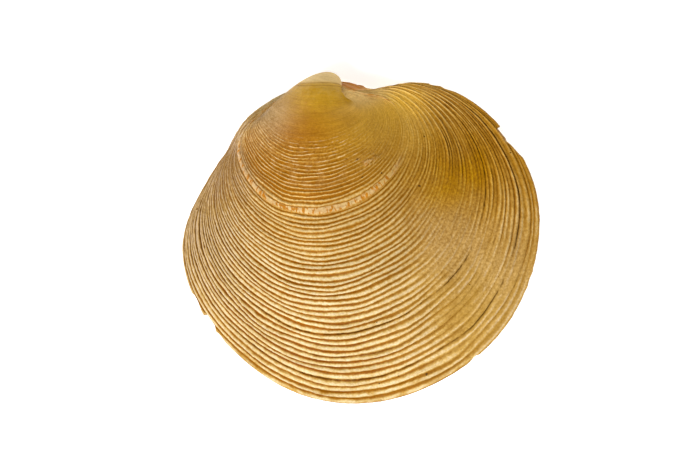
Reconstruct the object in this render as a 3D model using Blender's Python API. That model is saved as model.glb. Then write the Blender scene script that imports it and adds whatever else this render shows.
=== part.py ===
# One valve of a rayed artemis shell, a right valve lying on its margin with its outer face up.
# +X points to the front (anterior) end, +Y to the hinge and the beak, +Z out of the domed face.
# The origin is at the middle of the bounding box, on the flat face of the margin.
import math

import bmesh
import bpy
import numpy as np
from mathutils import Vector
from mathutils.bvhtree import BVHTree

# ---- driving dimensions, metres and degrees ----

# The margin as distances from the origin in plan, counter-clockwise from the front end.
MARGIN_POINTS = [
    (0, 0.0250), (25, 0.0244), (45, 0.0236), (58, 0.0215), (69, 0.0201), (79, 0.0205),
    (92, 0.0216), (112, 0.0222), (132, 0.0224), (150, 0.0232), (168, 0.0247), (187, 0.0247),
    (207, 0.0234), (230, 0.0226), (260, 0.0219), (290, 0.0219), (315, 0.0230), (340, 0.0243),
]
POLE = (-0.0012, 0.0200)           # the point that every growth line shrinks towards
COIL_AXIS_ANGLE = -16.5            # direction of the axis that the shell coils about

SHRINK_RATE = 1.43                 # how fast the growth lines shrink for each radian of coil
SHRINK_SLOWING = 0.19              # and how much slower they do so nearer the beak
POLE_RISE = 0.0025                 # how far the coiling axis lies beyond the pole, on the hinge side
BEAK_START = 1.9                   # coil angle where the beak starts to round off, radians
BEAK_END = 2.95                    # coil angle of the beak's tip, radians
LEAN_START = 0.9                   # coil angle where the beak starts to lean forwards, radians
BEAK_LEAN = 0.0030                 # how far the tip leans towards the front end
BEAK_LIFT = 0.0018                 # how far the tip stands above the hinge edge behind it

EDGE_THICKNESS = 0.0006            # of the margin's sharp edge
RIM_WIDTH = 0.0014                 # of the flat band that the valve rests on
WALL_AT_RIM = 0.0012
WALL_AT_MIDDLE = 0.0018
WALL_THICKENS_OVER = 0.010         # distance in from the rim over which the wall thickens

# Growth stops are broad grooves, each at a coil angle in radians.
GROWTH_STOPS = (0.056, 0.179, 0.57)
STOP_HALF_WIDTH = 0.012
STOP_DEPTH = 0.00020
STOP_FADE = 0.3                    # the grooves fade out where the face has hardly risen
STOP_LOWEST_RISE = 0.0004          # and are gone where it has risen less than this

HOLLOW_MIDDLE = (0.0, 0.0010)      # the deepest point of the inner face in plan
HINGE_PLATE_HEIGHT = 0.0010        # the hinge plate stands back this far from the margin's plane
HINGE_PLATE_DEPTH = 0.0062         # its extent from the pole towards the middle of the valve
HINGE_PLATE_MIDDLE = -0.0020       # its middle along the hinge
HINGE_PLATE_SPREAD = 0.0095        # its half extent along the hinge
HINGE_PLATE_SLOPE = 1.3            # how steeply the hollow falls away from the plate's edge
BLEND = 0.0008                     # how softly the plate's edge runs into the hollow

# Hinge teeth and ligament ridge: start and end in plan, width and height above the margin's plane.
TOOTH_BACK = ((-0.0016, 0.0183), (-0.0068, 0.0146), 0.0011)
TOOTH_MIDDLE = ((-0.0006, 0.0179), (-0.0022, 0.0137), 0.0012)
TOOTH_FRONT = ((0.0008, 0.0179), (0.0024, 0.0141), 0.0008)
LIGAMENT_RIDGE = ((-0.0026, 0.0194), (-0.0112, 0.0167), 0.0010)
TOOTH_CLEARANCE = 0.00015          # the teeth stay this far above the margin's plane
TOOTH_TOP = 0.0022                 # they reach up into the plate to this height

COLUMNS = 72                       # points round each growth line
OUTER_RINGS = 26
INNER_RINGS = 18

SHELL_COLOUR = (0.56, 0.36, 0.13, 1.0)
SHELL_ROUGHNESS = 0.55


def clear_scene():
    for item in list(bpy.data.objects):
        bpy.data.objects.remove(item, do_unlink=True)


def shell_material():
    material = bpy.data.materials.new("shell")
    material.use_nodes = True
    shader = material.node_tree.nodes["Principled BSDF"]
    shader.inputs["Base Color"].default_value = SHELL_COLOUR
    shader.inputs["Roughness"].default_value = SHELL_ROUGHNESS
    shader.inputs["Metallic"].default_value = 0.0
    return material


def closed_spline(angles, values, wanted):
    """A smooth closed curve through values at angles, read at the wanted angles (radians)."""
    count = len(angles)
    steps = np.diff(np.append(angles, angles[0] + 2.0 * math.pi))
    rises = (np.roll(values, -1) - values) / steps
    system = np.zeros((count, count))
    target = np.zeros(count)
    for i in range(count):
        before = steps[i - 1]
        after = steps[i]
        system[i, i - 1] += after
        system[i, i] += 2.0 * (before + after)
        system[i, (i + 1) % count] += before
        target[i] = 3.0 * (after * rises[i - 1] + before * rises[i])
    slopes = np.linalg.solve(system, target)
    wrapped = np.mod(wanted - angles[0], 2.0 * math.pi) + angles[0]
    span = np.searchsorted(angles, wrapped, side="right") - 1
    following = (span + 1) % count
    t = (wrapped - angles[span]) / steps[span]
    start_part = (2 * t**3 - 3 * t**2 + 1) * values[span]
    start_part += (t**3 - 2 * t**2 + t) * steps[span] * slopes[span]
    end_part = (3 * t**2 - 2 * t**3) * values[following]
    end_part += (t**3 - t**2) * steps[span] * slopes[following]
    return start_part + end_part


def margin_outline(columns):
    """The margin's outline in plan, one row for each column."""
    angles = np.radians([point[0] for point in MARGIN_POINTS])
    radii = np.array([point[1] for point in MARGIN_POINTS])
    around = np.arange(columns) * 2.0 * math.pi / columns
    radius = closed_spline(angles, radii, around)
    return np.column_stack([radius * np.cos(around), radius * np.sin(around)])


def smooth_step(value):
    t = np.clip(value, 0.0, 1.0)
    return t * t * (3.0 - 2.0 * t)


def ring_size(coil):
    """Size of the growth line at a coil angle, against the margin's size of 1."""
    size = math.exp(-SHRINK_RATE * coil + SHRINK_SLOWING * coil * coil)
    if coil > BEAK_START:
        size *= math.sqrt(max(0.0, 1.0 - ((coil - BEAK_START) / (BEAK_END - BEAK_START)) ** 2))
    return size


def growth_line(outline, coil):
    """The growth line at a coil angle: the margin shrunk, turned about the coil axis and leant."""
    axis = np.array([math.cos(math.radians(COIL_AXIS_ANGLE)), math.sin(math.radians(COIL_AXIS_ANGLE))])
    ventral = np.array([axis[1], -axis[0]])
    offset = outline - np.array(POLE)
    along = offset @ axis
    across = offset @ ventral
    size = ring_size(coil)
    lean = BEAK_LEAN * smooth_step((coil - LEAN_START) / (BEAK_END - LEAN_START))
    lift = BEAK_LIFT * (coil / BEAK_END) ** 1.3
    plan = np.outer(size * along + lean, axis) + np.outer(size * across * math.cos(coil), ventral)
    rise = size * (across + POLE_RISE) * math.sin(coil)
    groove = sum(math.exp(-(((coil - stop) / STOP_HALF_WIDTH) ** 2)) for stop in GROWTH_STOPS)
    groove_depth = groove * np.clip(STOP_FADE * (rise - STOP_LOWEST_RISE), 0.0, STOP_DEPTH)
    height = EDGE_THICKNESS + lift + rise - groove_depth
    return np.column_stack([plan + np.array(POLE), height])


def coil_angles():
    """Coil angles of the outer rings, from the margin to just short of the tip."""
    even = list(np.linspace(0.0, BEAK_END * 0.985, OUTER_RINGS))
    stops = [stop + side * STOP_HALF_WIDTH for stop in GROWTH_STOPS for side in (-1.6, 0.0, 1.6)]
    kept = [angle for angle in even if min(abs(angle - stop) for stop in stops) > STOP_HALF_WIDTH]
    return sorted([0.0] + [angle for angle in kept if angle > 0.0] + stops)


def shrunk_outline(outline, inset):
    """The outline moved inwards by a constant distance."""
    tangent = np.roll(outline, -1, axis=0) - np.roll(outline, 1, axis=0)
    tangent /= np.linalg.norm(tangent, axis=1)[:, None]
    inwards = np.column_stack([-tangent[:, 1], tangent[:, 0]])
    return outline + inset * inwards


def hinge_limit(x, y):
    """Highest point of the hollow at a place in plan, as the hinge plate allows it."""
    spread = ((x - HINGE_PLATE_MIDDLE) / HINGE_PLATE_SPREAD) ** 4
    plate_edge = POLE[1] - HINGE_PLATE_DEPTH * math.exp(-spread)
    fall = BLEND * math.log1p(math.exp(min(30.0, (plate_edge - y) / BLEND)))
    return HINGE_PLATE_HEIGHT + HINGE_PLATE_SLOPE * fall


def hollow_height(outer_face, x, y, inset):
    """Height of the inner face at a place in plan, a wall's thickness under the outer face."""
    hit = outer_face.ray_cast(Vector((x, y, -1.0)), Vector((0.0, 0.0, 1.0)))[0]
    if hit is None:
        return 0.0
    share = smooth_step(inset / WALL_THICKENS_OVER)
    wall = WALL_AT_RIM + (WALL_AT_MIDDLE - WALL_AT_RIM) * float(share)
    return max(0.0, min(hit.z - wall, hinge_limit(x, y)))


def add_ring(mesh, points):
    return [mesh.verts.new(point) for point in points]


def skin(mesh, first, second):
    """Quads between two rings; the faces look out where the second ring lies inside the first."""
    count = len(first)
    for i in range(count):
        j = (i + 1) % count
        mesh.faces.new((first[i], first[j], second[j], second[i]))


def close_ring(mesh, ring, point):
    tip = mesh.verts.new(point)
    for i, corner in enumerate(ring):
        mesh.faces.new((corner, ring[(i + 1) % len(ring)], tip))


def outer_face(mesh, outline):
    """Growth lines from the margin to the beak, and the point that closes the beak."""
    rings = [add_ring(mesh, growth_line(outline, coil)) for coil in coil_angles()]
    for lower, upper in zip(rings, rings[1:]):
        skin(mesh, lower, upper)
    tip = np.mean([corner.co for corner in rings[-1]], axis=0)
    close_ring(mesh, rings[-1], tip)
    return rings[0]


def inner_face(mesh, outline, face_tree):
    """The flat rim band's inner edge and the hollow inside it, facing down."""
    rim = shrunk_outline(outline, RIM_WIDTH)
    middle = np.array(HOLLOW_MIDDLE)
    rings = []
    for step in range(INNER_RINGS):
        share = (step / INNER_RINGS) ** 1.15
        plan = middle + (rim - middle) * (1.0 - share)
        inset = share * np.linalg.norm(rim - middle, axis=1)
        points = []
        for (x, y), distance in zip(plan, inset):
            z = 0.0 if step == 0 else hollow_height(face_tree, x, y, distance)
            points.append((x, y, z))
        rings.append(add_ring(mesh, points))
    for wider, narrower in zip(rings, rings[1:]):
        skin(mesh, narrower, wider)
    top = hollow_height(face_tree, middle[0], middle[1], WALL_THICKENS_OVER)
    close_ring(mesh, rings[-1][::-1], (middle[0], middle[1], top))
    return rings[0]


def valve(material):
    """The whole valve as one closed shell: outer face, edge, flat rim and hollow."""
    outline = margin_outline(COLUMNS)
    mesh = bmesh.new()
    edge = outer_face(mesh, outline)
    face_tree = BVHTree.FromBMesh(mesh)
    resting_edge = add_ring(mesh, [(x, y, 0.0) for x, y in outline])
    skin(mesh, resting_edge, edge)
    rim = inner_face(mesh, outline, face_tree)
    skin(mesh, rim, resting_edge)
    data = bpy.data.meshes.new("valve")
    mesh.to_mesh(data)
    mesh.free()
    data.materials.append(material)
    item = bpy.data.objects.new("valve", data)
    bpy.context.collection.objects.link(item)
    return item


def ridge(name, start, end, width):
    """A tapered bar that stands down from the hinge plate, used as one tooth or ridge."""
    start = Vector((*start, 0.0))
    end = Vector((*end, 0.0))
    along = (end - start).normalized()
    side = Vector((-along.y, along.x, 0.0)) * width / 2.0
    mesh = bmesh.new()
    levels = ((TOOTH_CLEARANCE, 0.55), (TOOTH_TOP, 1.25))
    rings = []
    for height, share in levels:
        rise = Vector((0.0, 0.0, height))
        inset = along * width * (1.0 - share)
        corners = (start + inset - side * share, end - inset - side * share,
                   end - inset + side * share, start + inset + side * share)
        rings.append([mesh.verts.new(corner + rise) for corner in corners])
    skin(mesh, rings[0], rings[1])
    mesh.faces.new(rings[0][::-1])
    mesh.faces.new(rings[1])
    data = bpy.data.meshes.new(name)
    mesh.to_mesh(data)
    mesh.free()
    item = bpy.data.objects.new(name, data)
    bpy.context.collection.objects.link(item)
    item.hide_render = True
    item.display_type = "WIRE"
    return item


def join_ridge(target, name, start, end, width):
    bar = ridge(name, start, end, width)
    union = target.modifiers.new(name, "BOOLEAN")
    union.operation = "UNION"
    union.solver = "EXACT"
    union.object = bar


def main():
    clear_scene()
    shell = valve(shell_material())
    join_ridge(shell, "back_tooth", *TOOTH_BACK)
    join_ridge(shell, "middle_tooth", *TOOTH_MIDDLE)
    join_ridge(shell, "front_tooth", *TOOTH_FRONT)
    join_ridge(shell, "ligament_ridge", *LIGAMENT_RIDGE)
    for face in shell.data.polygons:
        face.use_smooth = True
    shell.data.set_sharp_from_angle(angle=math.radians(40.0))


main()
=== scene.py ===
import math

import bpy
import numpy as np
from mathutils import Matrix, Vector, noise
from mathutils.bvhtree import BVHTree


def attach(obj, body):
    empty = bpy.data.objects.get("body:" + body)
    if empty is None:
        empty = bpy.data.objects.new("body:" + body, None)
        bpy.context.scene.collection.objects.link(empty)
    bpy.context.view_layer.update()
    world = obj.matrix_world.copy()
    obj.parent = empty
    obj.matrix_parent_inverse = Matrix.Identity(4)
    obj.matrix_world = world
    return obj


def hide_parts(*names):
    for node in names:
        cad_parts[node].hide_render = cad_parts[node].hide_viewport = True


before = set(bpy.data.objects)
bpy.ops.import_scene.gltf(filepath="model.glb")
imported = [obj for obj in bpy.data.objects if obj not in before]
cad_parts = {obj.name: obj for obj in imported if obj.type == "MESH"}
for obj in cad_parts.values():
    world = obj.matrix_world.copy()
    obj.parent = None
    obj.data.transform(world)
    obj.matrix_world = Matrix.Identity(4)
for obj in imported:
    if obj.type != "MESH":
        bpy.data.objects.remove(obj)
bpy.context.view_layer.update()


# the valve, and how it grew

valve = {
    # distance of the margin from the origin, counter-clockwise from the front end: degrees, metres
    "marginPoints": [
        (0, 0.02500), (25, 0.02440), (45, 0.02330), (58, 0.02174), (69, 0.01996), (79, 0.02050),
        (92, 0.02164), (112, 0.02200), (132, 0.02220), (150, 0.02305), (168, 0.02487), (187, 0.02466),
        (207, 0.02340), (230, 0.02267), (260, 0.02197), (290, 0.02192), (315, 0.02302), (340, 0.02424),
    ],
    "pole": (-0.00105, 0.02030),     # every growth line shrinks towards this point
    "coilAxisAngle": -16.6,          # direction of the coiling axis, degrees
    "shrinkRate": 1.587,             # for each radian of coil
    "shrinkSlowing": 0.278,          # slower towards the beak
    "axisRise": 0.0025,              # coiling axis beyond the pole, on the hinge side
    "beakStart": 2.03,               # radians
    "beakEnd": 2.965,
    "beakRound": 0.47,
    "beakNarrowing": (1.2, 0.617),   # from this coil angle, and how quickly
    "lean": (0.9, 2.95, 0.00272),    # forwards: from, to, how far
    "reach": (1.1, 2.5, 0.00152),    # towards the hinge side
    "twist": (1.0, 2.0, 0.142),      # the coiling axis turns forwards: from, to, radians
    "lift": 0.00195,
    # swellings beside the beak: middle and reach in plan, rise, height above which they fade, first ribs
    "fills": [((0.0056, 0.0187), (0.0034, 0.0026), 0.0025, 0.0085, 6.0),
              ((0.0044, 0.0198), (0.0024, 0.0018), 0.0024, 0.0080, 7.0),
              ((-0.0090, 0.0180), (0.0032, 0.0034), 0.0025, 0.0098, 10.0),
              ((-0.0052, 0.0200), (0.0026, 0.0018), 0.0016, 0.0085, 12.0)],
    "fillFade": 0.0035,              # height over which a swelling fades
    "fillEnd": (72.0, 11.0),         # rib at which the swellings end, and over how many ribs
    # the slope that joins the beak's front side: its height at a place in plan, how steeply it falls
    # forwards and to each side, where it applies, and first ribs
    "shelf": {"at": (0.0036, 0.0192), "level": 0.0063, "forwards": 0.30, "up": 1.10, "down": 0.50,
              "middle": (0.0046, 0.0189), "reach": (0.0026, 0.0017), "first": 6.0},
    # growth lines drawn in before the beak: middle and reach in plan, how far, first ribs
    "drawnIn": ((0.0068, 0.0190), (0.0024, 0.0013), 0.00042, 5.0),
    # shoulders that roll out over the edge: middle and reach in plan, direction, how far the flank swells
    # out and the edge draws in, the ribs from edge to flank, and the ribs over which the swelling fades
    "rolls": [((-0.0125, 0.0170), (0.0080, 0.0065), (-0.72, 0.69), 0.00070, 0.00045,
               (0.0, 14.0), (66.0, 28.0))],
    "edgeThickness": 0.0006,
    "columns": 272,
    "beakRings": 16,
    "lastRing": 0.992,               # share of the beak's coil at which the rings stop
    "smoothBelow": 60.0,             # degrees
}

ribs = {
    "firstRate": 77.5,               # ribs for each radian of coil at the margin
    "slowing": 21.3,
    "count": 70,
    "share": 0.36,                   # height against the local spacing
    "most": 0.00025,                 # greatest height, metres
    # where the rings of a rib lie, for the ribs up to each number
    "rings": [(26, (0.0, 0.17, 0.40, 0.64, 0.86)), (58, (0.0, 0.22, 0.50, 0.78)), (70, (0.0, 0.33, 0.66))],
    "wander": 0.36,                  # how far a rib strays, in ribs
    # share of the straying, then the noise: scale around the shell, scale for each rib, seed
    "strays": [(1.0, 2.2, 0.30, 1.0), (0.8, 3.0, 0.75, 2.0), (0.16, 16.0, 0.9, 4.0), (0.09, 44.0, 1.3, 6.0)],
    "uneven": [(0.7, 1.5, 0.9, 5.0), (0.45, 30.0, 0.8, 8.0)],     # the same for a rib's height
    "fade": (2.0, 10.0),             # how far past the last rib they end, and over how many ribs
    "least": 0.05,                   # what is left of a rib that is rubbed down
    "stops": {4: 1.0, 8: 0.35, 12: 1.0},   # growth stops: rib number and how deep
    "stopDepth": 0.00011,
    "stopWidth": 0.10,               # in ribs
    # where ribs crowd beside the beak they run together: middle and reach in plan, how many make one
    "merged": [((-0.0120, 0.0165), (0.0044, 0.0038), 3.2), ((-0.0168, 0.0112), (0.0030, 0.0036), 1.5),
               ((0.0098, 0.0172), (0.0034, 0.0028), 4.6), ((0.0150, 0.0138), (0.0034, 0.0030), 2.4)],
    "mergedShape": (0.30, 0.70),     # height between merged ribs, and how much they add to it
    "mergedGain": 0.30,              # how much higher for each rib that they take up
}


def deselectAll():
    if bpy.context.object and bpy.context.object.mode != "OBJECT":
        bpy.ops.object.mode_set(mode="OBJECT")
    bpy.ops.object.select_all(action="DESELECT")


def smoothStep(value):
    t = np.clip(value, 0.0, 1.0)
    return t * t * (3.0 - 2.0 * t)


def closedSpline(angles, values, wanted):
    count = len(angles)
    steps = np.diff(np.append(angles, angles[0] + 2.0 * math.pi))
    rises = (np.roll(values, -1) - values) / steps
    system = np.zeros((count, count))
    target = np.zeros(count)
    for i in range(count):
        before, after = steps[i - 1], steps[i]
        system[i, i - 1] += after
        system[i, i] += 2.0 * (before + after)
        system[i, (i + 1) % count] += before
        target[i] = 3.0 * (after * rises[i - 1] + before * rises[i])
    slopes = np.linalg.solve(system, target)
    wrapped = np.mod(wanted - angles[0], 2.0 * math.pi) + angles[0]
    span = np.searchsorted(angles, wrapped, side="right") - 1
    following = (span + 1) % count
    t = (wrapped - angles[span]) / steps[span]
    result = (2 * t**3 - 3 * t**2 + 1) * values[span]
    result += (t**3 - 2 * t**2 + t) * steps[span] * slopes[span]
    result += (3 * t**2 - 2 * t**3) * values[following]
    result += (t**3 - t**2) * steps[span] * slopes[following]
    return result


def marginRadius(around):
    angles = np.radians([point[0] for point in valve["marginPoints"]])
    radii = np.array([point[1] for point in valve["marginPoints"]])
    return closedSpline(angles, radii, around)


def coilOfRib(number):       # the coil angle at which a rib number lies
    rate, slowing = ribs["firstRate"], ribs["slowing"]
    return (rate - np.sqrt(rate * rate - 4.0 * slowing * number)) / (2.0 * slowing)


def ringSize(coil):
    narrowFrom, narrowing = valve["beakNarrowing"]
    rate = valve["shrinkRate"] * coil - valve["shrinkSlowing"] * coil * coil
    size = math.exp(-rate - narrowing * max(0.0, coil - narrowFrom) ** 2)
    if coil > valve["beakStart"]:
        share = (coil - valve["beakStart"]) / (valve["beakEnd"] - valve["beakStart"])
        size *= max(0.0, 1.0 - share * share) ** valve["beakRound"]
    return size


def rampUp(coil, name):
    start, end, amount = valve[name]
    return amount * float(smoothStep((coil - start) / (end - start)))


def ringShift(coil):         # where the pole has moved to, with the coiling axis along X
    height = valve["edgeThickness"] + valve["lift"] * (coil / valve["beakEnd"]) ** 1.3
    height += valve["axisRise"] * ringSize(coil) * math.sin(coil)
    return Vector((rampUp(coil, "lean"), rampUp(coil, "reach"), height))


def ringPlan():              # rib number and coil angle of every ring, from the margin to the beak
    numbers = []
    for rib in range(ribs["count"]):
        phases = next(phases for end, phases in ribs["rings"] if rib < end)
        numbers.extend(rib + phase for phase in phases)
    coils = [float(coilOfRib(number)) for number in numbers]
    last = coils[-1]
    beak = np.linspace(last, valve["beakEnd"] * valve["lastRing"], valve["beakRings"] + 1)[1:]
    numbers.extend(ribs["count"] + i + 1.0 for i in range(valve["beakRings"]))
    coils.extend(float(coil) for coil in beak)
    return np.array(numbers), np.array(coils)


def growOuterFace(numbers, coils):
    deselectAll()
    columns = valve["columns"]
    bpy.ops.mesh.primitive_circle_add(vertices=columns, radius=0.02, fill_type="NOTHING")
    shell = bpy.context.object
    shell.name = "artemisValve"
    around = np.arange(columns) * 2.0 * math.pi / columns
    radius = marginRadius(around)
    for vert, angle, reach in zip(shell.data.vertices, around, radius):
        vert.co = (reach * math.cos(angle), reach * math.sin(angle), 0.0)
    turn = math.radians(valve["coilAxisAngle"])
    pole = Vector((*valve["pole"], 0.0))
    toAxis = Matrix.Translation(pole) @ Matrix.Rotation(-turn, 4, "Z") @ Matrix.Translation(-pole)
    shell.data.transform(toAxis)     # the coiling axis now lies along X through the pole
    bpy.ops.object.mode_set(mode="EDIT")
    bpy.ops.mesh.select_all(action="SELECT")
    place = pole + ringShift(0.0)
    bpy.ops.transform.translate(value=ringShift(0.0))
    for lower, upper in zip(coils, coils[1:]):
        factor = ringSize(upper) / ringSize(lower)
        bpy.ops.mesh.extrude_edges_move(TRANSFORM_OT_translate={"value": (0.0, 0.0, 0.0)})
        bpy.ops.transform.resize(value=(factor, factor, factor), center_override=place)
        twisted = rampUp(upper, "twist")
        if twisted:
            bpy.ops.transform.rotate(value=-rampUp(lower, "twist"), orient_axis="Z", center_override=place)
        bpy.ops.transform.rotate(value=upper - lower, orient_axis="X", center_override=place)
        if twisted:
            bpy.ops.transform.rotate(value=twisted, orient_axis="Z", center_override=place)
        step = ringShift(upper) - ringShift(lower)
        bpy.ops.transform.translate(value=step)
        place = place + step
    bpy.ops.object.mode_set(mode="OBJECT")
    shell.data.transform(toAxis.inverted())
    print("outer face grown,", len(coils), "rings of", columns)
    return shell


def readGrid(shell, rows, columns):
    flat = np.empty(len(shell.data.vertices) * 3)
    shell.data.vertices.foreach_get("co", flat)
    return flat.reshape(-1, 3)[: rows * columns].reshape(rows, columns, 3)


def writeGrid(shell, grid):
    shell.data.vertices.foreach_set("co", grid.reshape(-1))
    shell.data.update()


# ribs, wear and chips, moved point by point on the grown rings

wear = {
    # where the ribs are rubbed down: middle and reach in plan, metres, and how much is left
    "rubbed": [((0.0140, -0.0016), (0.0046, 0.0068), 0.08), ((0.0082, 0.0134), (0.0052, 0.0056), 0.22),
               ((0.0190, -0.0090), (0.0050, 0.0060), 0.55)],
    # chips out of the edge: direction, half width (degrees), depth (metres)
    "chips": [(19.0, 4.6, 0.00105), (14.4, 1.4, 0.00055), (69.5, 8.4, 0.00052), (49.5, 1.4, 0.00040),
              (45.0, 1.6, 0.00030), (187.5, 3.4, 0.00060), (195.5, 3.2, 0.00085), (201.0, 1.6, 0.0004),
              (301, 1.6, 0.0003)],
    "edgeRoughness": 0.00007,
    "breakWidth": 0.00012,
    "firstSmooth": (47.0, 58.0),     # the young shell is rubbed smooth between these ribs
    "brokenRibs": (41.0, 57.0),
    "band": (36.3, 38.1),            # one wide rib where growth paused
    "bandEnds": (-0.0135, 0.0102),   # it fades out beyond these, from back to front
    "bandFade": 0.002,
    "bandRoughness": 0.00006,
    "bandStep": 0.00010,             # it and the next ribs towards the margin stand this much higher
    "frontStart": (0.006, 0.005),    # where the worn front begins, and over what distance
    "frontRibs": (0.46, 0.54),       # its flat height, and how much a raised rib adds
    "frontGroove": 0.50,
    # thin broken plates left standing on the young ribs: middle and reach in plan
    "plates": [((0.0061, 0.0091), (0.0009, 0.0004)), ((0.0070, 0.0097), (0.0005, 0.0004))],
    "plateRise": 0.00013,
    "plateColour": 0.8,              # how much of the wide rib's colour they take
}

tones = {        # middle and reach in plan, metres
    # the front slope; its colours are its own darker ochre and painted shade where it faces away from the
    # light
    "slope": ((0.0165, 0.0064), (0.0100, 0.0100)),
    "flank": ((-0.0215, 0.0085), (0.0075, 0.0120)),
    "shoulder": ((-0.0140, 0.0142), (0.0058, 0.0062)),
    "umboSide": ((-0.0064, 0.0190), (0.0044, 0.0036)),
    # beside the beak's front side; its colours are its own light tan made paler still, painted light over the
    # shade in the hollow there
    "beakSide": ((0.0062, 0.0188), (0.0028, 0.0019)),
    "front": ((0.0150, -0.0115), (0.0115, 0.0120)),
    # the notch beside the umbo, where paler colours are painted light over the shade under the umbo's
    # overhang
    "litNotch": ((0.0086, 0.0154), (0.0060, 0.0056)),
    "strip": ((0.0046, 0.0200), (0.0030, 0.0018)),
}
grownFade = 6.0                  # ribs past the wide one, over which the shoulder's tone gives way
beakSideEnd = (67.0, 5.0)        # rib at which the tone beside the beak ends, and over how many ribs


def noiseField(numbers, around, turns, perRib, seed):
    field = np.empty((len(numbers), len(around)))
    circle = [(turns * math.cos(a), turns * math.sin(a)) for a in around]
    for row, number in enumerate(numbers):
        height = number * perRib + seed
        field[row] = [noise.noise(Vector((x, y, height))) for x, y in circle]
    return field


def slideAlongGrowth(grid, numbers, stray):     # each point moves along its own column of the shell
    wanted = np.clip(numbers[:, None] + stray, numbers[0], numbers[-1])
    lower = np.clip(np.searchsorted(numbers, wanted, side="right") - 1, 0, len(numbers) - 2)
    share = (wanted - numbers[lower]) / (numbers[lower + 1] - numbers[lower])
    column = np.arange(grid.shape[1])[None, :]
    return grid[lower, column] * (1.0 - share[..., None]) + grid[lower + 1, column] * share[..., None]


def outwardNormals(grid):
    along = np.roll(grid, -1, axis=1) - np.roll(grid, 1, axis=1)
    inward = np.gradient(grid, axis=0)
    normal = np.cross(along, inward)
    return normal / np.maximum(np.linalg.norm(normal, axis=2), 1e-12)[..., None]


def nearness(grid, middle, reach, power=2.0):
    away = np.abs((grid[..., 0] - middle[0]) / reach[0]) ** power
    away += np.abs((grid[..., 1] - middle[1]) / reach[1]) ** power
    return np.exp(-away)


def wholeShare(grid, numbers, around):       # 1 where the ribs are whole, less where they are rubbed down
    left = np.ones(grid.shape[:2])
    for middle, reach, rest in wear["rubbed"]:
        left *= 1.0 - (1.0 - rest) * nearness(grid, middle, reach, 3.0)
    start, end = wear["firstSmooth"]
    left *= 1.0 - 0.90 * smoothStep((numbers - start) / (end - start))[:, None]
    patchy = 0.5 + 1.4 * noiseField(numbers, around, 7.0, 0.45, 11.0)
    patchy += 0.8 * noiseField(numbers, around, 22.0, 1.1, 12.0)
    left = left + (smoothStep(patchy) - 0.5) * 1.3 * left * (1.0 - left)
    start, end = wear["brokenRibs"]
    broken = smoothStep((numbers - start) / 4.0) * smoothStep((end - numbers) / 4.0)
    gaps = smoothStep(2.4 * noiseField(numbers, around, 7.0, 0.45, 13.0) + 0.30)
    return np.clip(left * (1.0 - 0.75 * broken[:, None] * gaps), 0.0, 1.0)


def fillHollows(grid, numbers):     # the flanks beside the beak swell out instead of dipping
    end, fade = valve["fillEnd"]
    behindBeak = smoothStep((end - numbers) / fade)[:, None]
    middle, reach, shift, first = valve["drawnIn"]
    drawn = shift * nearness(grid, middle, reach) * smoothStep(numbers / first)[:, None]
    for middle, reach, rise, top, first in valve["fills"]:
        low = smoothStep((top - grid[..., 2]) / valve["fillFade"])
        low = low * smoothStep(numbers / first)[:, None] * behindBeak
        grid[..., 2] += rise * nearness(grid, middle, reach) * low
    shelf = valve["shelf"]
    rise = grid[..., 1] - shelf["at"][1]
    level = shelf["level"] - shelf["forwards"] * (grid[..., 0] - shelf["at"][0])
    level -= np.where(rise > 0.0, shelf["up"], shelf["down"]) * rise
    lift = np.maximum(level - grid[..., 2], 0.0) * smoothStep(numbers / shelf["first"])[:, None]
    grid[..., 2] += lift * nearness(grid, shelf["middle"], shelf["reach"])
    grid[..., 1] -= drawn
    for middle, reach, direction, out, back, (start, full), (end, fade) in valve["rolls"]:
        outer = smoothStep((numbers - start) / (full - start))
        share = out * outer * smoothStep((end - numbers) / (end - fade)) - back * (1.0 - outer)
        moved = nearness(grid, middle, reach) * share[:, None]
        grid[..., 0] += direction[0] * moved
        grid[..., 1] += direction[1] * moved


def ribProfile(numbers):
    phase = numbers - np.floor(numbers)
    near = np.minimum(phase, 1.0 - phase)
    cord = (0.5 - 0.5 * np.cos(2.0 * math.pi * phase)) ** 0.75
    thin = np.exp(-(((phase - 0.45) / 0.165) ** 2))
    start, end = wear["band"]
    wide = smoothStep((numbers - start) / 0.35) * smoothStep((end - numbers) / 0.35)
    return cord, thin, np.exp(-((near / 0.10) ** 2)), wide, (numbers > start) & (numbers < end)


def grooveStrength(numbers, around, uneven):     # some grooves are shallow, above all on the front slope
    groove = np.floor(numbers + 0.5)
    own = np.array([noise.noise(Vector((k * 7.31, 2.7, 0.5))) for k in groove])
    strength = 1.0 - uneven * (0.55 + 1.5 * own[:, None])
    strength = strength + 0.6 * uneven * noiseField(groove * 3.7, around, 2.0, 1.0, 15.0)
    return np.clip(strength, 0.05, 1.15)


def growthStops(grid, numbers, around):
    stops = np.zeros(grid.shape[:2])
    for number, depth in ribs["stops"].items():
        groove = np.exp(-(((numbers - number) / ribs["stopWidth"]) ** 2))[:, None] * depth
        broken = 0.62 + 1.3 * noiseField(numbers * 0.0, around, 5.0, 0.0, float(number))
        broken += 1.3 * noiseField(numbers * 0.0, around, 34.0, 0.0, number + 0.5)
        stops = np.maximum(stops, groove * np.clip(broken, 0.0, 1.0))
    return stops


def ribHeight(grid, numbers, around):
    spacing = np.linalg.norm(np.gradient(grid, axis=0), axis=2) / np.gradient(numbers)[:, None]
    height = np.minimum(ribs["share"] * spacing, ribs["most"])
    for share, *pattern in ribs["uneven"]:
        height *= 1.0 + share * noiseField(numbers, around, *pattern)
    past, over = ribs["fade"]
    return height * smoothStep((ribs["count"] + past - numbers) / over)[:, None]


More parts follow.
